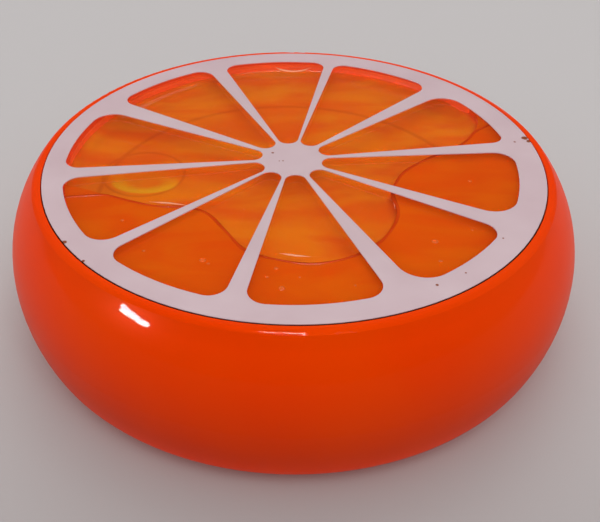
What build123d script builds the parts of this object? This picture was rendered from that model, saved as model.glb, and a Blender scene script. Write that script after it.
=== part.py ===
"""A round, flat, bulging pot of translucent orange gel with a fruit-slice window for a lid.

Millimetres, +Z up.  The origin is the centre of the foot, on the surface that the pot stands on.
The pot is a body of revolution about Z: a blow-moulded shell with a gasket on the ledge inside
its mouth, a press-in clear lid that carries the white print, and the gel with its air pocket.
"""

from build123d import *
import os
from math import asin, degrees

os.makedirs("parts", exist_ok=True)

# ---- Driving dimensions ----

# Outside of the shell: four arcs, each tangent to the next, from the foot up to the lip
shell_height = 22.1
belly_radius = 38.25  # widest point
belly_height = 10.4
heel_radius = 5.2  # the turn from the foot into the side
side_radius = 20.0  # the side below the belly
shoulder_radius = 18.0  # the side above the belly, up to the lip
lip_radius = 1.0

# Foot: a flat ring round a shallow dome that is pushed up from below
foot_inner_radius = 25.0
push_up = 1.2

wall = 1.4  # shell thickness

# Mouth of the shell, from the top down: bore, gasket ledge, neck bore
mouth_radius = 33.1
ledge_radius = 31.2
ledge_top = 20.9
ledge_bottom = 19.5

# Gasket that lies on the ledge
gasket_thickness = 0.4
gasket_side_gap = 0.1

# Lid: a flange over the gasket, a window plate and a plug skirt inside the neck
seam_gap = 0.12  # between the lid's edge and the mouth
skirt_gap = 0.1  # running clearance between the skirt and the ledge
skirt_width = 1.0
skirt_bottom = 19.4
window_thickness = 1.2
skirt_chamfer = 0.3

# Print on the lid: a ring, ten spokes and a hub, all one thin layer of ink.  Like a cut fruit, no
# two spokes are alike, and the hub lies a little off the middle of the lid.
print_thickness = 0.1
print_edge_margin = 0.05  # lid left bare outside the ring
hub_centre = (-0.45, 0.33)
window_ring_centre = (-0.45, 0.05)
window_ring_radius = 29.9  # outer reach of the windows between the spokes
window_tip_round = 1.42  # each window's tip, which together leave the hub
spoke_root_width = 0.1  # where a spoke's two edges reach the middle of the hub
spokes = [
    # degrees from +X, width at the ring, corner radius on its clockwise and anticlockwise side
    (7.0, 2.65, 2.6, 1.7),
    (43.0, 3.0, 3.2, 2.2),
    (78.5, 1.55, 1.8, 1.8),
    (114.0, 2.65, 2.0, 2.2),
    (151.0, 3.4, 2.0, 3.0),
    (188.0, 2.4, 2.0, 2.2),
    (223.0, 1.85, 2.6, 2.2),
    (258.0, 2.3, 2.2, 2.3),
    (294.5, 3.2, 2.4, 3.5),
    (331.0, 2.8, 2.3, 3.3),
]

# Gel and the air pocket in its top
gel_gap = 0.05  # clearance that keeps the gel's solid off the walls
pocket_floor = 19.2
# Edge of the pocket where gel wets the lid, from the left wall round the front to the right wall
pocket_edge = [
    (-34.0, -4.0), (-24.0, -8.0), (-13.0, -10.5), (-8.5, -15.5), (2.0, -21.5),
    (10.5, -17.0), (12.5, -5.0), (18.0, 2.0), (25.0, 11.0), (27.5, 21.5),
]

# ---- Sizes that follow from those ----

rise = shell_height - belly_height
side_turn = degrees(asin((belly_height - heel_radius) / (side_radius - heel_radius)))
shoulder_turn = degrees(asin((rise - lip_radius) / (shoulder_radius - lip_radius)))
dome_radius = (foot_inner_radius**2 + push_up**2) / (2 * push_up)
dome_turn = degrees(asin(foot_inner_radius / dome_radius))
lid_radius = mouth_radius - seam_gap
skirt_radius = ledge_radius - skirt_gap
window_bottom = shell_height - window_thickness
flange_bottom = ledge_top + gasket_thickness


def draw_half_outline(inset):
    """Draw the closed right half of the body, moved inwards by inset, in the open BuildLine."""
    belly = (belly_radius - inset, belly_height)
    side = JernArc(belly, (0, -1), side_radius - inset, -side_turn)
    heel = JernArc(side @ 1, side % 1, heel_radius - inset, side_turn - 90)
    Line(heel @ 1, (foot_inner_radius, inset))
    CenterArc((0, push_up + inset - dome_radius), dome_radius, 90 - dome_turn, dome_turn)
    shoulder = JernArc(belly, (0, 1), shoulder_radius - inset, shoulder_turn)
    top = shoulder @ 1
    if inset < lip_radius:
        lip = JernArc(top, shoulder % 1, lip_radius - inset, 90 - shoulder_turn)
        top = lip @ 1
    Polyline(top, (0, top.Y), (0, push_up + inset))


def box_section(inner, outer, bottom, top):
    """Add a rectangle from radius inner to outer and from height bottom to top."""
    with Locations(((inner + outer) / 2, (bottom + top) / 2)):
        Rectangle(outer - inner, top - bottom)


# ---- Shell: bulging wall, foot and the ledge in its mouth, moulded in one piece ----

with BuildPart() as outer_shell:
    with BuildSketch(Plane.XZ):
        with BuildLine():
            draw_half_outline(0)
        make_face()
    revolve(axis=Axis.Z)
    with BuildSketch(Plane.XZ):
        with BuildLine():
            draw_half_outline(wall)
        make_face()
        with Locations((0, ledge_bottom)):
            Rectangle(belly_radius, shell_height, align=(Align.MIN, Align.MIN), mode=Mode.SUBTRACT)
    revolve(axis=Axis.Z, mode=Mode.SUBTRACT)
    with Locations((0, 0, ledge_top)):
        Cylinder(
            mouth_radius,
            shell_height,
            align=(Align.CENTER, Align.CENTER, Align.MIN),
            mode=Mode.SUBTRACT,
        )
    with Locations((0, 0, ledge_bottom - wall)):
        Cylinder(
            ledge_radius,
            shell_height,
            align=(Align.CENTER, Align.CENTER, Align.MIN),
            mode=Mode.SUBTRACT,
        )

outer_shell.part.label = "outer_shell"
export_step(outer_shell.part, "parts/outer_shell.step")

# ---- Gasket: a flat ring that lies on the ledge, under the lid's flange ----

with BuildPart() as lid_gasket:
    with BuildSketch(Plane.XY.offset(ledge_top)):
        Circle(mouth_radius - gasket_side_gap)
        Circle(ledge_radius + gasket_side_gap, mode=Mode.SUBTRACT)
    extrude(amount=gasket_thickness)

lid_gasket.part.label = "lid_gasket"
export_step(lid_gasket.part, "parts/lid_gasket.step")

# ---- Lid: clear window plate, flange and plug skirt ----

with BuildPart() as window_lid:
    with BuildSketch(Plane.XZ):
        box_section(0, skirt_radius, window_bottom, shell_height)
        box_section(0, lid_radius, flange_bottom, shell_height)
        box_section(skirt_radius - skirt_width, skirt_radius, skirt_bottom, shell_height)
    revolve(axis=Axis.Z)
    skirt_end = window_lid.edges().filter_by(GeomType.CIRCLE).group_by(Axis.Z)[0]
    chamfer(skirt_end.sort_by(SortBy.RADIUS)[-1], length=skirt_chamfer)

window_lid.part.label = "window_lid"
export_step(window_lid.part, "parts/window_lid.step")

# ---- Print: white ring, spokes and hub, one layer of ink on top of the lid ----

overrun = 1.1  # each spoke's cutting wedge runs on past the ring's inner edge
with BuildSketch(Plane.XY.offset(shell_height)) as windows:
    with Locations(window_ring_centre):
        Circle(window_ring_radius)
    with Locations(hub_centre):
        for angle, ring_width, _, _ in spokes:
            Polygon(
                (0, -spoke_root_width / 2),
                (window_ring_radius * overrun, -ring_width / 2 * overrun),
                (window_ring_radius * overrun, ring_width / 2 * overrun),
                (0, spoke_root_width / 2),
                rotation=angle,
                align=None,
                mode=Mode.SUBTRACT,
            )
    window_tips = windows.vertices().sort_by_distance(hub_centre)[: len(spokes)]
    fillet(window_tips, window_tip_round)
    for angle, ring_width, clockwise_round, anticlockwise_round in spokes:
        for side, corner_round in ((-1, clockwise_round), (1, anticlockwise_round)):
            corner = Vector(window_ring_radius, side * ring_width / 2).rotate(Axis.Z, angle)
            fillet(windows.vertices().sort_by_distance(corner)[0], corner_round)

with BuildPart() as pith_print:
    with BuildSketch(Plane.XY.offset(shell_height)):
        Circle(lid_radius - print_edge_margin)
        add(windows.sketch, mode=Mode.SUBTRACT)
    extrude(amount=print_thickness)

pith_print.part.label = "pith_print"
export_step(pith_print.part, "parts/pith_print.step")

# ---- Gel: fills the shell up to the lid, less the air pocket ----

with BuildPart() as gel_fill:
    with BuildSketch(Plane.XZ):
        with BuildLine():
            draw_half_outline(wall + gel_gap)
        make_face()
        with Locations((0, skirt_bottom - gel_gap)):
            Rectangle(belly_radius, shell_height, align=(Align.MIN, Align.MIN), mode=Mode.SUBTRACT)
        box_section(0, skirt_radius - skirt_width - gel_gap, pocket_floor, window_bottom - gel_gap)
    revolve(axis=Axis.Z)
    with BuildSketch(Plane.XY.offset(pocket_floor)):
        with BuildLine():
            front = Spline(*pocket_edge)
            Polyline(
                front @ 1,
                (belly_radius, belly_radius),
                (-belly_radius, belly_radius),
                (-belly_radius, (front @ 0).Y),
                front @ 0,
            )
        make_face()
    extrude(amount=shell_height, mode=Mode.SUBTRACT)

gel_fill.part.label = "gel_fill"
export_step(gel_fill.part, "parts/gel_fill.step")
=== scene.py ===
from math import asin, cos, degrees, pi, radians, sin

import bmesh
import bpy
from mathutils import Matrix, Vector


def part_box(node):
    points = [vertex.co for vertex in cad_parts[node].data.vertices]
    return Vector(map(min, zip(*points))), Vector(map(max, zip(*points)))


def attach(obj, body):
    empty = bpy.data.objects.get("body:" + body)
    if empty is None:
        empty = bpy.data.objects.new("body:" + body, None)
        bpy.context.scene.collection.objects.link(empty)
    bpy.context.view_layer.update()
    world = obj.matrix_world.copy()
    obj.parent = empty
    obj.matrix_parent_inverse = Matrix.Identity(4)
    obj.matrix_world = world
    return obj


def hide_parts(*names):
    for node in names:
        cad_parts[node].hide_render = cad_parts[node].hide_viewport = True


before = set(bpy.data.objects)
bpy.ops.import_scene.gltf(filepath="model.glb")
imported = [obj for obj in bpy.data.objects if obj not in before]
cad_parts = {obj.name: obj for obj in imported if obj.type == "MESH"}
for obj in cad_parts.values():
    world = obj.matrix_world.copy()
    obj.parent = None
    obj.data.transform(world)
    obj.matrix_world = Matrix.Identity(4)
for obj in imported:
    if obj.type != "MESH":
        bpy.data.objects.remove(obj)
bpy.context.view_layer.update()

MM = 0.001

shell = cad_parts["outer_shell"]
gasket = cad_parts["lid_gasket"]
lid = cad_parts["window_lid"]
print_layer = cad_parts["pith_print"]

# ---- Sizes, in metres ----

foot_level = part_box("outer_shell")[0].z
lid_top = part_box("window_lid")[1].z
window_thickness = 1.2 * MM
window_underside = lid_top - window_thickness
skirt_inside = 30.1 * MM
ink_thickness = 0.1 * MM

# Outside of the shell: the arcs of its section, from the foot up
dome_rise = 1.2 * MM
foot_inside = 25.0 * MM
heel_radius = 5.2 * MM
side_radius = 20.0 * MM
belly_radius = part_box("outer_shell")[1].x
belly_height = 10.4 * MM
shoulder_radius = 18.0 * MM

# The gel wets the shell and the underside of the window, so it reaches a hair into both
wet = 0.05 * MM
gel_inset = 1.3 * MM  # from the outside of the shell to the gel
gel_shelf = 19.35 * MM  # the gel's level outside the lid's skirt
pocket_floor = 19.2 * MM


# ---- Small helpers ----


def linear(hex_colour):
    """An sRGB hex colour as the linear RGBA that the shaders work in."""
    channels = [int(hex_colour[i : i + 2], 16) / 255 for i in (1, 3, 5)]
    return [c / 12.92 if c <= 0.04045 else ((c + 0.055) / 1.055) ** 2.4 for c in channels] + [1.0]


def add_node(tree, kind, settings=None, inputs=None):
    """Adds a node with its settings and inputs: a socket is linked, anything else is set as a value."""
    node = tree.nodes.new(kind)
    for name, value in (settings or {}).items():
        setattr(node, name, value)
    for name, value in (inputs or {}).items():
        if isinstance(value, bpy.types.NodeSocket):
            tree.links.new(value, node.inputs[name])
        else:
            node.inputs[name].default_value = value
    return node


def new_material(name):
    """An empty material and its node tree."""
    material = bpy.data.materials.new(name)
    material.use_nodes = True
    material.node_tree.nodes.clear()
    return material, material.node_tree


def finish_material(tree, surface):
    """Sends a shader to the material's output."""
    add_node(tree, "ShaderNodeOutputMaterial", inputs={"Surface": surface})


def paint(obj, material):
    """Puts one material in every slot of an object."""
    if not obj.material_slots:
        obj.data.materials.append(material)
    for material_slot in obj.material_slots:
        material_slot.material = material


def new_object(name, mesh_maker):
    """An object from a bmesh, shaded smooth."""
    mesh = bpy.data.meshes.new(name)
    mesh_maker.to_mesh(mesh)
    mesh_maker.free()
    mesh.shade_smooth()
    obj = bpy.data.objects.new(name, mesh)
    bpy.context.scene.collection.objects.link(obj)
    return obj


# ---- Camera ----

camera = bpy.data.objects.new("camera", bpy.data.cameras.new("camera"))
camera.data.lens = 55.02
camera.data.sensor_width = 36
camera.data.clip_start = 0.005
camera.data.clip_end = 10
right = Vector((0.99993, -0.00165, 0.01167))
up = Vector((-0.00824, 0.6096, 0.79267))
forward = Vector((0.00842, 0.79271, -0.60954))
camera.matrix_world = Matrix.Translation(Vector((-0.26, -105.01, 85.98)) * MM) @ Matrix(
    (right, up, -forward)
).transposed().to_4x4()
bpy.context.scene.collection.objects.link(camera)
bpy.context.scene.camera = camera


# ---- The gel, with the air pocket in its top ----


def arc(centre, radius, start, end, count):
    """Points on an arc in the (radius, height) plane, from one angle to another, in degrees."""
    turns = [radians(start + (end - start) * k / count) for k in range(count + 1)]
    return [(centre[0] + radius * cos(t), centre[1] + radius * sin(t)) for t in turns]


def turn_profile(profile, segments):
    """A closed lathe mesh from (radius, height) points that start and end on the axis."""
    maker = bmesh.new()
    bottom = maker.verts.new((0, 0, profile[0][1]))
    top = maker.verts.new((0, 0, profile[-1][1]))
    rings = []
    for radius, height in profile[1:-1]:
        angles = [2 * pi * k / segments for k in range(segments)]
        rings.append([maker.verts.new((radius * cos(a), radius * sin(a), height)) for a in angles])
    for k in range(segments):
        after = (k + 1) % segments
        maker.faces.new((bottom, rings[0][after], rings[0][k]))
        for lower, upper in zip(rings, rings[1:]):
            maker.faces.new((lower[k], lower[after], upper[after], upper[k]))
        maker.faces.new((rings[-1][k], rings[-1][after], top))
    return maker


def smooth_loop(points, steps):
    """A closed Catmull-Rom loop through the points."""
    loop = []
    for k, here in enumerate(points):
        before = points[k - 1]
        after = points[(k + 1) % len(points)]
        beyond = points[(k + 2) % len(points)]
        for step in range(steps):
            t = step / steps
            loop.append(
                0.5
                * (
                    2 * here
                    + (after - before) * t
                    + (2 * before - 5 * here + 4 * after - beyond) * t**2
                    + (3 * here - before - 3 * after + beyond) * t**3
                )
            )
    return loop


def blend_between(value, low, high):
    """0 below low, 1 above high, and a smooth step between."""
    t = min(max((value - low) / (high - low), 0), 1)
    return t * t * (3 - 2 * t)


# Where the gel lets go of the window, in mm, from the left wall round the front to the right wall
gel_edge = [
    (-26.8, -6.6), (-23.8, -7.9), (-20.4, -9.3), (-17.2, -10.3), (-13.5, -10.5), (-10.8, -11.8),
    (-8.3, -15.5), (-6.0, -19.0), (-3.2, -20.6), (1.8, -21.7), (6.5, -20.4), (10.0, -17.6),
    (12.0, -14.2), (12.9, -10.9), (12.5, -7.6), (12.9, -5.2), (14.6, -1.6), (18.1, 1.7),
    (22.6, 5.0), (25.3, 8.8), (26.4, 12.9),
]
pocket_back_radius = 30.3 * MM
meniscus_width = 2.2 * MM
wall_contact = 20.4 * MM  # how high the gel climbs the skirt


def make_gel():
    """The gel as a closed body: the inside of the shell, less the air pocket with its curved meniscus."""
    dome_radius = (foot_inside**2 + dome_rise**2) / (2 * dome_rise)
    dome_end = 90 - degrees(asin(foot_inside / dome_radius))
    dome_centre = (0, dome_rise + gel_inset - dome_radius)
    side_turn = asin((belly_height - heel_radius) / (side_radius - heel_radius))
    side_centre = (belly_radius - side_radius, belly_height)
    heel_centre = (side_centre[0] + (side_radius - heel_radius) * cos(side_turn), heel_radius)
    side_turn = degrees(side_turn)
    shoulder_centre = (belly_radius - shoulder_radius, belly_height)
    shoulder_turn = degrees(asin((gel_shelf - belly_height) / (shoulder_radius - gel_inset)))
    neck = skirt_inside + 0.02 * MM
    body = [
        (0, dome_rise + gel_inset),
        *arc(dome_centre, dome_radius, 89.5, dome_end, 6),
        *arc(heel_centre, heel_radius - gel_inset, -90, -side_turn, 10),
        *arc(side_centre, side_radius - gel_inset, -side_turn, 0, 8)[1:],
        *arc(shoulder_centre, shoulder_radius - gel_inset, 0, shoulder_turn, 12)[1:],
        (neck, gel_shelf),
        (neck, window_underside + wet),
        (0, window_underside + wet),
    ]
    gel = new_object("gel", turn_profile(body, 256))

    # Round the back the pocket runs under the ring, from 34 to 190 degrees
    back = [Vector((cos(radians(a)), sin(radians(a)))) * pocket_back_radius for a in range(34, 193, 6)]
    loop = smooth_loop([Vector(p) * MM for p in gel_edge] + back, 8)
    maker = bmesh.new()
    rings = []
    meniscus_levels = 12
    for level in range(-1, meniscus_levels + 1):
        turn = radians(90 * max(level, 0) / meniscus_levels)
        ring = []
        for k, here in enumerate(loop):
            along = (loop[(k + 1) % len(loop)] - loop[k - 1]).normalized()
            inward = Vector((-along.y, along.x))
            contact = window_underside + wet
            contact += (wall_contact - contact) * blend_between(here.length, 28.9 * MM, skirt_inside)
            place = here + inward * meniscus_width * (1 - cos(turn))
            height = contact - (contact - pocket_floor) * sin(turn) if level >= 0 else lid_top
            ring.append(maker.verts.new((place.x, place.y, height)))
        rings.append(ring)
    for upper, lower in zip(rings, rings[1:]):
        for k in range(len(loop)):
            after = (k + 1) % len(loop)
            maker.faces.new((upper[k], lower[k], lower[after], upper[after]))
    maker.faces.new(rings[0])
    maker.faces.new(rings[-1][::-1])
    bmesh.ops.recalc_face_normals(maker, faces=maker.faces[:])
    pocket = new_object("pocket_tool", maker)

    cut = gel.modifiers.new("pocket", "BOOLEAN")
    cut.operation = "DIFFERENCE"
    cut.solver = "EXACT"
    cut.object = pocket
    evaluated = gel.evaluated_get(bpy.context.evaluated_depsgraph_get())
    gel.data = bpy.data.meshes.new_from_object(evaluated)
    gel.modifiers.clear()
    bpy.data.objects.remove(pocket)
    gel.data.shade_smooth()
    gel.data.set_sharp_from_angle(angle=radians(35))
    return gel


bead_corners = 8  # sides of a bead's section


def make_bead(name, line, half_width):
    """A flattened bead of gel laid along a line of points, thinning towards its two ends."""
    maker = bmesh.new()
    rings = []
    for k, here in enumerate(line):
        along = (line[min(k + 1, len(line) - 1)] - line[max(k - 1, 0)]).normalized()
        across = Vector((-along.y, along.x, 0))
        taper = blend_between(min(k, len(line) - 1 - k) / 6, 0, 1)
        swell = half_width * (0.12 + 0.88 * taper) * (1 + 0.25 * sin(k * 0.35) * cos(k * 0.11))
        ring = []
        for corner in range(bead_corners):
            turn = 2 * pi * corner / bead_corners
            place = here + across * swell * cos(turn) + Vector((0, 0, 0.5 * swell * sin(turn)))
            ring.append(maker.verts.new(place))
        rings.append(ring)
    for lower, upper in zip(rings, rings[1:]):
        for k in range(bead_corners):
            after = (k + 1) % bead_corners
            maker.faces.new((lower[k], lower[after], upper[after], upper[k]))
    maker.faces.new(rings[0][::-1])
    maker.faces.new(rings[-1])
    bmesh.ops.recalc_face_normals(maker, faces=maker.faces[:])
    return new_object(name, maker)


def make_edge_bead():
    """The rounded edge of the gel, along the line where it lets go of the window."""
    steps = 8
    loop = smooth_loop([Vector(p) * MM for p in gel_edge], steps)
    line = [Vector((p.x, p.y, window_underside)) for p in loop[: steps * (len(gel_edge) - 1)]]
    return make_bead("gel_edge_bead", line, 0.24 * MM)


def make_glint_arc():
    """An arc of thin gel over a bubble, against the back of the pocket, painted pale as a painted highlight.
    """
    centre = Vector((-0.4, 31.3, 20.75)) * MM
    radius = 3.4 * MM
    line = []
    for angle in range(212, 330, 6):
        turn = radians(angle)
        line.append(centre + Vector((cos(turn), sin(turn), 0)) * radius)
    return make_bead("gel_film_glint", line, 0.2 * MM)


# Painted highlights: pale glint lines just under the window, inside the contact line: the corners of each,
# in mm
glint_lines = {
    "far_left": [(-26.2, -7.1), (-24.9, -7.5)],
    "left": [(-18.3, -9.15), (-15.4, -9.5), (-12.8, -10.0)],
    "front": [(-1.8, -19.6), (0.2, -20.05), (2.2, -20.25)],
    "right": [(12.6, -6.4), (12.57, -8.0), (12.5, -10.6)],
}


def make_glint_lines():
    """One pale bead for each glint line, just under the window, as a painted highlight."""
    steps = 8
    glint_beads = []
    for name, corners in glint_lines.items():
        line = []
        for start, end in zip(corners, corners[1:]):
            for step in range(steps):
                x, y = Vector(start).lerp(Vector(end), step / steps) * MM
                line.append(Vector((x, y, window_underside - 0.1 * MM)))
        glint_beads.append(make_bead("gel_glint_" + name, line, 0.14 * MM))
    return glint_beads


# Small bubbles caught under the window: x, y and radius in mm
bubbles = [
    (-10.6, -21.2, 0.42), (-9.9, -21.8, 0.2), (-1.4, -26.2, 0.45), (-2.1, -22.6, 0.26),
    (-3.1, -24.2, 0.22), (0.6, -24.2, 0.18), (16.7, -17.2, 0.4), (19.3, -11.6, 0.24),
    (10.9, -20.8, 0.3), (16.9, -21.0, 0.26), (21.5, -14.8, 0.2), (-21.0, -13.4, 0.24),
    (-17.6, -19.5, 0.2), (6.8, -25.6, 0.2), (22.8, -3.9, 0.26),
]


def make_bubbles():
    """Bubbles pressed flat against the underside of the window, as one piece."""
    maker = bmesh.new()
    for k, (x, y, radius) in enumerate(bubbles):
        size = radius * MM
        made = bmesh.ops.create_icosphere(maker, subdivisions=3, radius=size)
        stretch = Vector((1 + 0.15 * sin(k * 2.3), 1 - 0.12 * sin(k * 1.7), 0.6))
        for vertex in made["verts"]:
            vertex.co = Vector(a * b for a, b in zip(vertex.co, stretch))
            vertex.co.z = min(vertex.co.z, 0.35 * size)
            vertex.co += Vector((x * MM, y * MM, window_underside + wet - 0.2 * size))
    return new_object("gel_bubbles", maker)


# ---- Materials ----


def mottled(tree, place, size, low, high):
    """A colour that drifts between two others, in patches about as large as size, in metres."""
    noise = add_node(
        tree,
        "ShaderNodeTexNoise",
        inputs={"Vector": place, "Scale": 1 / size, "Detail": 2.5, "Roughness": 0.5},
    )
    mix = add_node(
        tree,
        "ShaderNodeMix",
        {"data_type": "RGBA"},
        {0: noise.outputs["Fac"], 6: linear(low), 7: linear(high)},
    )
    return mix.outputs[2]


def make_shell_material():
    """Translucent orange PETG, blow moulded in a polished tool: a glassy skin, painted darker low down as
    painted shade.
    """
    material, tree = new_material("tinted PETG, polished mould")
    place = add_node(tree, "ShaderNodeTexCoord").outputs["Object"]
    height = add_node(tree, "ShaderNodeSeparateXYZ", inputs={"Vector": place}).outputs["Z"]
    # Painted shade: the skin's colour is darker towards the foot, where the lower side gets less light
    rise = add_node(
        tree,
        "ShaderNodeMapRange",
        {"interpolation_type": "SMOOTHSTEP"},
        {"Value": height, "From Min": 3 * MM, "From Max": 18 * MM},
    )
    body = add_node(
        tree,
        "ShaderNodeMix",
        {"data_type": "RGBA"},
        {0: rise.outputs["Result"], 6: linear("#dc3a00"), 7: linear("#f84400")},
    )
    flow = add_node(
        tree,
        "ShaderNodeTexNoise",
        inputs={"Vector": place, "Scale": 1 / (14 * MM), "Detail": 2.0, "Roughness": 0.4},
    )
    colour = add_node(
        tree,
        "ShaderNodeMix",
        {"data_type": "RGBA", "blend_type": "OVERLAY"},
        {0: 0.25, 6: body.outputs[2], 7: flow.outputs["Fac"]},
    )
    # Light from the paper comes up into the turn of the side, so its lowest few millimetres glow
    low_down = add_node(
        tree,
        "ShaderNodeMapRange",
        {"interpolation_type": "SMOOTHSTEP"},
        {"Value": height, "From Min": 7 * MM, "From Max": 0.5 * MM, "To Max": 0.15},
    )
    flat_place = add_node(
        tree, "ShaderNodeVectorMath", {"operation": "MULTIPLY"}, {0: place, 1: (1.0, 1.0, 0.0)}
    )
    reach = add_node(tree, "ShaderNodeVectorMath", {"operation": "LENGTH"}, {0: flat_place.outputs[0]})
    far_out = add_node(
        tree,
        "ShaderNodeMapRange",
        {"interpolation_type": "SMOOTHSTEP"},
        {"Value": reach.outputs["Value"], "From Min": 31 * MM, "From Max": 36 * MM},
    )
    glow = add_node(
        tree,
        "ShaderNodeMath",
        {"operation": "MULTIPLY"},
        {0: low_down.outputs["Result"], 1: far_out.outputs["Result"]},
    )
    shader = add_node(
        tree,
        "ShaderNodeBsdfPrincipled",
        inputs={
            "Base Color": colour.outputs[2],
            "Emission Color": linear("#f83c00"),
            "Emission Strength": glow.outputs[0],
            "Roughness": 0.3,
            "IOR": 1.46,
            "Specular IOR Level": 0.0,
            "Specular Tint": linear("#ff4a08"),
            "Transmission Weight": 0.25,
            "Coat Weight": 0.16,
            "Coat IOR": 1.4,
            "Coat Roughness": 0.03,
        },
    )
    finish_material(tree, shader.outputs["BSDF"])
    return material


def make_lid_material():
    """Clear acrylic, injection moulded: water clear, with sharp reflections and a trace of handling haze.

    Its skirt is painted orange and made to glow, as painted light: down in the neck it picks up the orange
    light round it, and the glow lifts the shade under the print.
    """
    material, tree = new_material("clear acrylic")
    place = add_node(tree, "ShaderNodeTexCoord").outputs["Object"]
    smears = add_node(
        tree,
        "ShaderNodeTexNoise",
        inputs={"Vector": place, "Scale": 1 / (12 * MM), "Detail": 3.0, "Distortion": 1.5},
    )
    haze = add_node(
        tree,
        "ShaderNodeMapRange",
        inputs={
            "Value": smears.outputs["Fac"],
            "From Min": 0.45,
            "From Max": 0.8,
            "To Min": 0.01,
            "To Max": 0.07,
        },
    )
    shader = add_node(
        tree,
        "ShaderNodeBsdfPrincipled",
        inputs={
            "Base Color": linear("#ffffff"),
            "Roughness": haze.outputs["Result"],
            "IOR": 1.49,
            "Transmission Weight": 1.0,
        },
    )
    ray = add_node(tree, "ShaderNodeLightPath")
    lighting = add_node(
        tree,
        "ShaderNodeMath",
        {"operation": "MAXIMUM"},
        {0: ray.outputs["Is Shadow Ray"], 1: ray.outputs["Is Diffuse Ray"]},
    )
    clear = add_node(tree, "ShaderNodeBsdfTransparent", inputs={"Color": linear("#fbf7f4")})
    pane = add_node(
        tree,
        "ShaderNodeMixShader",
        inputs={0: lighting.outputs[0], 1: shader.outputs["BSDF"], 2: clear.outputs["BSDF"]},
    )
    # Painted light: the clear skirt is painted orange and glows, for the orange light that reaches it in the
    # neck
    tinted = add_node(
        tree,
        "ShaderNodeBsdfPrincipled",
        inputs={
            "Base Color": mottled(tree, place, 2 * MM, "#dc4404", "#f05c0c"),
            "Roughness": 0.5,
            "Emission Color": linear("#e84c06"),
            "Emission Strength": 0.25,
        },
    )
    height = add_node(tree, "ShaderNodeSeparateXYZ", inputs={"Vector": place}).outputs["Z"]
    is_skirt = add_node(
        tree,
        "ShaderNodeMath",
        {"operation": "LESS_THAN"},
        {0: height, 1: window_underside - 0.01 * MM},
    )
    pane_and_skirt = add_node(
        tree,
        "ShaderNodeMixShader",
        inputs={0: is_skirt.outputs[0], 1: pane.outputs[0], 2: tinted.outputs["BSDF"]},
    )
    finish_material(tree, pane_and_skirt.outputs[0])
    return material


def oval_band(tree, place, centre, half_sizes, inner, peak_from, peak_to, outer):
    """1 on an oval band about a centre in mm, fading to 0 inside and outside it.

    inner, peak_from, peak_to and outer are fractions of the oval's half sizes.
    """
    offset = add_node(
        tree,
        "ShaderNodeVectorMath",
        {"operation": "SUBTRACT"},
        {0: place, 1: (centre[0] * MM, centre[1] * MM, 0)},
    )
    scaled = add_node(
        tree,
        "ShaderNodeVectorMath",
        {"operation": "MULTIPLY"},
        {0: offset.outputs[0], 1: (1 / (half_sizes[0] * MM), 1 / (half_sizes[1] * MM), 0)},
    )
    reach = add_node(tree, "ShaderNodeVectorMath", {"operation": "LENGTH"}, {0: scaled.outputs[0]})
    rising = add_node(
        tree,
        "ShaderNodeMapRange",
        {"interpolation_type": "SMOOTHSTEP"},
        {"Value": reach.outputs["Value"], "From Min": inner, "From Max": peak_from},
    )
    falling = add_node(
        tree,
        "ShaderNodeMapRange",
        {"interpolation_type": "SMOOTHSTEP"},
        {"Value": reach.outputs["Value"], "From Min": outer, "From Max": peak_to},
    )
    return add_node(
        tree,
        "ShaderNodeMath",
        {"operation": "MULTIPLY"},
        {0: rising.outputs["Result"], 1: falling.outputs["Result"]},
    ).outputs[0]


# Painted light and shade on the gel: each oval's centre, then its half sizes, in mm
caustic_oval = ((-19.85, -2.15), (4.2, 2.6))
bubble_edge_shade = ((-20.3, -0.1), (5.5, 5.5))
foot_edge_shade = ((-1.0, -5.5), (24.9, 24.9))

# Between these levels the gel goes from its painted lighter look under the air pocket to the painted darker
# look where it wets the window
wetted_from = 20.8 * MM
wetted_to = 20.93 * MM


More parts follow.
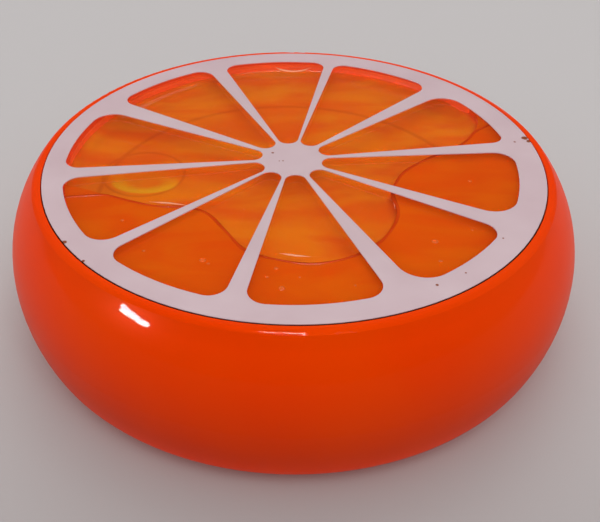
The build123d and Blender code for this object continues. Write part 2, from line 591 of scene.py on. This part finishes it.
def make_gel_material():
    """Orange gel, slightly milky: light scatters back out of it, partly shown by a painted glow, and its
    depth still shows.
    """
    material, tree = new_material("orange gel")
    own_place = add_node(tree, "ShaderNodeTexCoord").outputs["Object"]
    place = add_node(tree, "ShaderNodeSeparateXYZ", inputs={"Vector": own_place})
    normal = add_node(tree, "ShaderNodeNewGeometry").outputs["Normal"]
    facing = add_node(tree, "ShaderNodeSeparateXYZ", inputs={"Vector": normal})

    # Painted light and shade: the same gel is painted darker where it wets the window and lighter under the
    # air pocket, for how the light falls in each
    wetted = add_node(
        tree,
        "ShaderNodeMapRange",
        inputs={"Value": place.outputs["Z"], "From Min": wetted_from, "From Max": wetted_to},
    )
    drawn_out = add_node(
        tree,
        "ShaderNodeVectorMath",
        {"operation": "MULTIPLY"},
        {0: own_place, 1: (0.35, 1.0, 1.0)},
    )
    flow = add_node(
        tree,
        "ShaderNodeTexNoise",
        inputs={
            "Vector": drawn_out.outputs[0],
            "Scale": 1 / (5 * MM),
            "Detail": 2.5,
            "Roughness": 0.5,
            "Distortion": 0.8,
        },
    )
    clouds = add_node(
        tree,
        "ShaderNodeMapRange",
        {"interpolation_type": "SMOOTHSTEP"},
        {"Value": flow.outputs["Fac"], "From Min": 0.3, "From Max": 0.7},
    )
    lighter_under_pocket = add_node(
        tree,
        "ShaderNodeMix",
        {"data_type": "RGBA"},
        {0: clouds.outputs["Result"], 6: linear("#f86c04"), 7: linear("#ff960a")},
    )
    darker_under_window = add_node(
        tree,
        "ShaderNodeMix",
        {"data_type": "RGBA"},
        {0: clouds.outputs["Result"], 6: linear("#e65500"), 7: linear("#e86a02")},
    )
    painted_level_light = add_node(
        tree,
        "ShaderNodeMix",
        {"data_type": "RGBA"},
        {0: wetted.outputs["Result"], 6: lighter_under_pocket.outputs[2], 7: darker_under_window.outputs[2]},
    )

    # A large bubble bows the gel. A yellow crescent is a painted caustic, light focused by the bubble, and a
    # dark round outline is painted shade at its edge. The second, much larger dark outline is painted shade
    # too: the pot's foot, seen through the gel.
    front_half = add_node(
        tree,
        "ShaderNodeMapRange",
        {"interpolation_type": "SMOOTHSTEP"},
        {"Value": place.outputs["Y"], "From Min": -0.45 * MM, "From Max": -3.65 * MM},
    )
    painted_caustic = add_node(
        tree,
        "ShaderNodeMath",
        {"operation": "MULTIPLY"},
        {
            0: oval_band(tree, own_place, *caustic_oval, 0.35, 0.85, 0.95, 1.12),
            1: front_half.outputs["Result"],
        },
    )
    # Painted shade: dark outlines at the bubble's edge and the foot's edge, shown only under the air pocket
    outline_shade = add_node(
        tree,
        "ShaderNodeMath",
        {"operation": "MAXIMUM"},
        {
            0: oval_band(tree, own_place, *bubble_edge_shade, 0.93, 0.98, 1.0, 1.05),
            1: oval_band(tree, own_place, *foot_edge_shade, 0.965, 0.985, 0.99, 1.01),
        },
    )
    outline_shade_strength = add_node(
        tree,
        "ShaderNodeMapRange",
        inputs={"Value": wetted.outputs["Result"], "From Min": 1.0, "From Max": 0.0, "To Max": 0.3},
    )
    seen_outline_shade = add_node(
        tree,
        "ShaderNodeMath",
        {"operation": "MULTIPLY"},
        {0: outline_shade.outputs[0], 1: outline_shade_strength.outputs["Result"]},
    )
    with_outline_shade = add_node(
        tree,
        "ShaderNodeMix",
        {"data_type": "RGBA"},
        {0: seen_outline_shade.outputs[0], 6: painted_level_light.outputs[2], 7: linear("#a03000")},
    )
    with_painted_caustic = add_node(
        tree,
        "ShaderNodeMix",
        {"data_type": "RGBA"},
        {0: painted_caustic.outputs[0], 6: with_outline_shade.outputs[2], 7: linear("#ffd21e")},
    )

    # Painted shade: the steep side of the meniscus is painted a darker red
    steep = add_node(
        tree,
        "ShaderNodeMapRange",
        {"interpolation_type": "SMOOTHSTEP"},
        {"Value": facing.outputs["Z"], "From Min": 0.95, "From Max": 0.3},
    )
    colour = add_node(
        tree,
        "ShaderNodeMix",
        {"data_type": "RGBA"},
        {0: steep.outputs["Result"], 6: with_painted_caustic.outputs[2], 7: linear("#c43400")},
    )
    shader = add_node(
        tree,
        "ShaderNodeBsdfPrincipled",
        inputs={
            "Base Color": colour.outputs[2],
            "Roughness": 0.0,
            "IOR": 1.40,
            "Specular IOR Level": 0.3,
            "Transmission Weight": 0.4,
            # Painted light: a faint orange glow over the whole gel, for light gathered in it
            "Emission Color": linear("#ff6a04"),
            "Emission Strength": 0.12,
        },
    )
    finish_material(tree, shader.outputs["BSDF"])
    return material


# Chips in the print: x, y and size in mm
ink_chips = [
    (31.9, 6.4, 0.42), (32.3, 5.5, 0.36), (30.3, 5.3, 0.16), (-3.0, 1.8, 0.17),
    (-1.6, -0.25, 0.14), (-2.1, -0.28, 0.12), (15.8, -26.2, 0.16), (19.3, -24.0, 0.12),
    (24.7, -17.3, 0.13), (-26.9, -18.8, 0.3), (-24.0, -22.4, 0.22),
]


def make_ink_material():
    """White screen ink: a thin satin film, faintly mottled, chipped through to brown in a few spots."""
    material, tree = new_material("white screen ink")
    place = add_node(tree, "ShaderNodeTexCoord").outputs["Object"]
    film = mottled(tree, place, 7 * MM, "#bfa6ab", "#cebbbf")
    ragged = add_node(
        tree,
        "ShaderNodeTexNoise",
        inputs={"Vector": place, "Scale": 1 / (0.5 * MM), "Detail": 2.0},
    )
    chipped = None
    for x, y, size in ink_chips:
        offset = add_node(
            tree,
            "ShaderNodeVectorMath",
            {"operation": "DISTANCE"},
            {0: place, 1: (x * MM, y * MM, lid_top + ink_thickness)},
        )
        spread = add_node(
            tree,
            "ShaderNodeMath",
            {"operation": "MULTIPLY"},
            {0: offset.outputs["Value"], 1: 1 / (size * MM)},
        )
        uneven = add_node(
            tree, "ShaderNodeMath", {"operation": "ADD"}, {0: spread.outputs[0], 1: ragged.outputs["Fac"]}
        )
        chip = add_node(
            tree,
            "ShaderNodeMapRange",
            inputs={"Value": uneven.outputs[0], "From Min": 1.6, "From Max": 1.35},
        ).outputs["Result"]
        if chipped is None:
            chipped = chip
        else:
            chipped = add_node(
                tree, "ShaderNodeMath", {"operation": "MAXIMUM"}, {0: chipped, 1: chip}
            ).outputs[0]
    colour = add_node(
        tree,
        "ShaderNodeMix",
        {"data_type": "RGBA"},
        {0: chipped, 6: film, 7: linear("#8a4520")},
    )
    grain = add_node(
        tree,
        "ShaderNodeTexNoise",
        inputs={"Vector": place, "Scale": 1 / (0.35 * MM), "Detail": 2.0},
    )
    bump = add_node(
        tree,
        "ShaderNodeBump",
        inputs={"Height": grain.outputs["Fac"], "Strength": 0.15, "Distance": 0.05 * MM},
    )
    shader = add_node(
        tree,
        "ShaderNodeBsdfPrincipled",
        inputs={"Base Color": colour.outputs[2], "Roughness": 0.4, "Normal": bump.outputs["Normal"]},
    )
    finish_material(tree, shader.outputs["BSDF"])
    return material


def make_gasket_material():
    """Moulded silicone in dark red-brown: matt, with a fine powdery unevenness."""
    material, tree = new_material("red-brown silicone")
    place = add_node(tree, "ShaderNodeTexCoord").outputs["Object"]
    powder = add_node(
        tree,
        "ShaderNodeTexNoise",
        inputs={"Vector": place, "Scale": 1 / (0.3 * MM), "Detail": 2.0},
    )
    bump = add_node(
        tree,
        "ShaderNodeBump",
        inputs={"Height": powder.outputs["Fac"], "Strength": 0.2, "Distance": 0.03 * MM},
    )
    shader = add_node(
        tree,
        "ShaderNodeBsdfPrincipled",
        inputs={
            "Base Color": mottled(tree, place, 3 * MM, "#4c170a", "#66220f"),
            "Roughness": 0.6,
            "Normal": bump.outputs["Normal"],
        },
    )
    finish_material(tree, shader.outputs["BSDF"])
    return material


def make_edge_shade_material():
    """The rounded edge of the gel, painted dark red as painted shade, for the dark line it shows where light
    passes along it.
    """
    material, tree = new_material("gel edge shade")
    place = add_node(tree, "ShaderNodeTexCoord").outputs["Object"]
    colour = mottled(tree, place, 3 * MM, "#b83200", "#d84a04")
    shader = add_node(
        tree,
        "ShaderNodeBsdfPrincipled",
        inputs={"Base Color": colour, "Roughness": 0.08, "IOR": 1.40},
    )
    finish_material(tree, shader.outputs["BSDF"])
    return material


def make_glint_material():
    """Painted highlight: a pale colour for the thin gel over air and for the glint lines, catching the
    light.
    """
    material, tree = new_material("gel glint")
    place = add_node(tree, "ShaderNodeTexCoord").outputs["Object"]
    colour = mottled(tree, place, 1.5 * MM, "#ff9e6e", "#ffcaa6")
    shader = add_node(
        tree,
        "ShaderNodeBsdfPrincipled",
        inputs={"Base Color": colour, "Roughness": 0.1, "IOR": 1.40},
    )
    finish_material(tree, shader.outputs["BSDF"])
    return material


def make_bubble_material():
    """Air in gel: a small round lens, paler than the gel round it."""
    material, tree = new_material("air in gel")
    place = add_node(tree, "ShaderNodeTexCoord").outputs["Object"]
    colour = mottled(tree, place, 0.4 * MM, "#f47020", "#ff9848")
    shader = add_node(
        tree,
        "ShaderNodeBsdfPrincipled",
        inputs={"Base Color": colour, "Roughness": 0.1, "IOR": 1.40, "Transmission Weight": 0.5},
    )
    finish_material(tree, shader.outputs["BSDF"])
    return material


# ---- Every piece and its material; the gel's pieces go on the pot's body ----

gel = make_gel()
edge_bead = make_edge_bead()
# The film is a pale arc painted as a highlight
film = make_glint_arc()
bubbles = make_bubbles()
glint_beads = make_glint_lines()
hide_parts("gel_fill")
for piece in (gel, edge_bead, film, bubbles, *glint_beads):
    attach(piece, "pot")

glint_material = make_glint_material()
for piece in (film, *glint_beads):
    paint(piece, glint_material)
paint(edge_bead, make_edge_shade_material())
paint(bubbles, make_bubble_material())
paint(gel, make_gel_material())
paint(shell, make_shell_material())
paint(lid, make_lid_material())
paint(print_layer, make_ink_material())
paint(gasket, make_gasket_material())


# ---- Floor and light ----


def make_floor():
    """A wide sheet of plain pale matt paper, painted a little greyer towards the front as painted shade, the
    light falling from behind.
    """
    maker = bmesh.new()
    bmesh.ops.create_grid(maker, x_segments=2, y_segments=2, size=1.5)
    floor = new_object("floor", maker)
    floor.location.z = foot_level
    material, tree = new_material("plain pale paper")
    own_place = add_node(tree, "ShaderNodeTexCoord").outputs["Object"]
    place = add_node(tree, "ShaderNodeSeparateXYZ", inputs={"Vector": own_place})
    # Painted shade: the paper is darker towards the front
    lighter_towards_back = add_node(
        tree,
        "ShaderNodeMapRange",
        {"interpolation_type": "SMOOTHSTEP"},
        {"Value": place.outputs["Y"], "From Min": -90 * MM, "From Max": 0.0},
    )
    colour = add_node(
        tree,
        "ShaderNodeMix",
        {"data_type": "RGBA"},
        {0: lighter_towards_back.outputs["Result"], 6: linear("#989594"), 7: linear("#bab9b8")},
    )
    shader = add_node(
        tree,
        "ShaderNodeBsdfPrincipled",
        inputs={"Base Color": colour.outputs[2], "Roughness": 0.9, "Specular IOR Level": 0.0},
    )
    finish_material(tree, shader.outputs["BSDF"])
    paint(floor, material)
    return floor


def make_studio():
    """Soft light from all round, a plain wall to look at, and a dim room for the gloss to mirror."""
    world = bpy.data.worlds.new("studio")
    world.use_nodes = True
    tree = world.node_tree
    tree.nodes.clear()
    ray = add_node(tree, "ShaderNodeLightPath")
    soft_light = add_node(
        tree, "ShaderNodeBackground", inputs={"Color": linear("#f4eff0"), "Strength": 0.95}
    )
    wall = add_node(tree, "ShaderNodeBackground", inputs={"Color": linear("#b8b6b5"), "Strength": 1.0})
    dim_room = add_node(
        tree, "ShaderNodeBackground", inputs={"Color": linear("#f4e6dc"), "Strength": 0.06}
    )
    mirrored = add_node(
        tree,
        "ShaderNodeMixShader",
        inputs={0: ray.outputs["Is Glossy Ray"], 1: soft_light.outputs[0], 2: dim_room.outputs[0]},
    )
    studio = add_node(
        tree,
        "ShaderNodeMixShader",
        inputs={0: ray.outputs["Is Camera Ray"], 1: mirrored.outputs[0], 2: wall.outputs[0]},
    )
    add_node(tree, "ShaderNodeOutputWorld", inputs={"Surface": studio.outputs[0]})
    return world


def add_softbox(name, azimuth, elevation, distance, width, height, power, glint_only=False):
    """A rectangular lamp aimed at the part.

    Angles are in degrees, with azimuth 0 in front and 90 to the right, and sizes are in metres.
    A lamp that is glint_only shows in reflections and lights nothing else.
    """
    lamp = bpy.data.objects.new(name, bpy.data.lights.new(name, "AREA"))
    lamp.data.shape = "RECTANGLE"
    lamp.data.size = width
    lamp.data.size_y = height
    lamp.data.energy = power
    turn, rise = radians(azimuth), radians(elevation)
    direction = Vector((sin(turn) * cos(rise), -cos(turn) * cos(rise), sin(rise)))
    lamp.location = direction * distance + Vector((0, 0, 20 * MM))
    lamp.rotation_mode = "QUATERNION"
    lamp.rotation_quaternion = (-direction).to_track_quat("-Z", "Y")
    lamp.visible_diffuse = not glint_only
    bpy.context.scene.collection.objects.link(lamp)
    return lamp


make_floor()
bpy.context.scene.world = make_studio()
add_softbox("key", 15, 60, 0.7, 0.35, 0.35, 0.8)
add_softbox("back light", 175, 62, 0.5, 0.3, 0.3, 0.35).visible_glossy = False
add_softbox("ceiling lamp", 2, 67, 0.8, 0.3, 0.06, 7.0, glint_only=True)
add_softbox("side window", -61, 17.5, 0.8, 0.17, 0.045, 4.5, glint_only=True)

bpy.context.scene.view_settings.view_transform = "Standard"
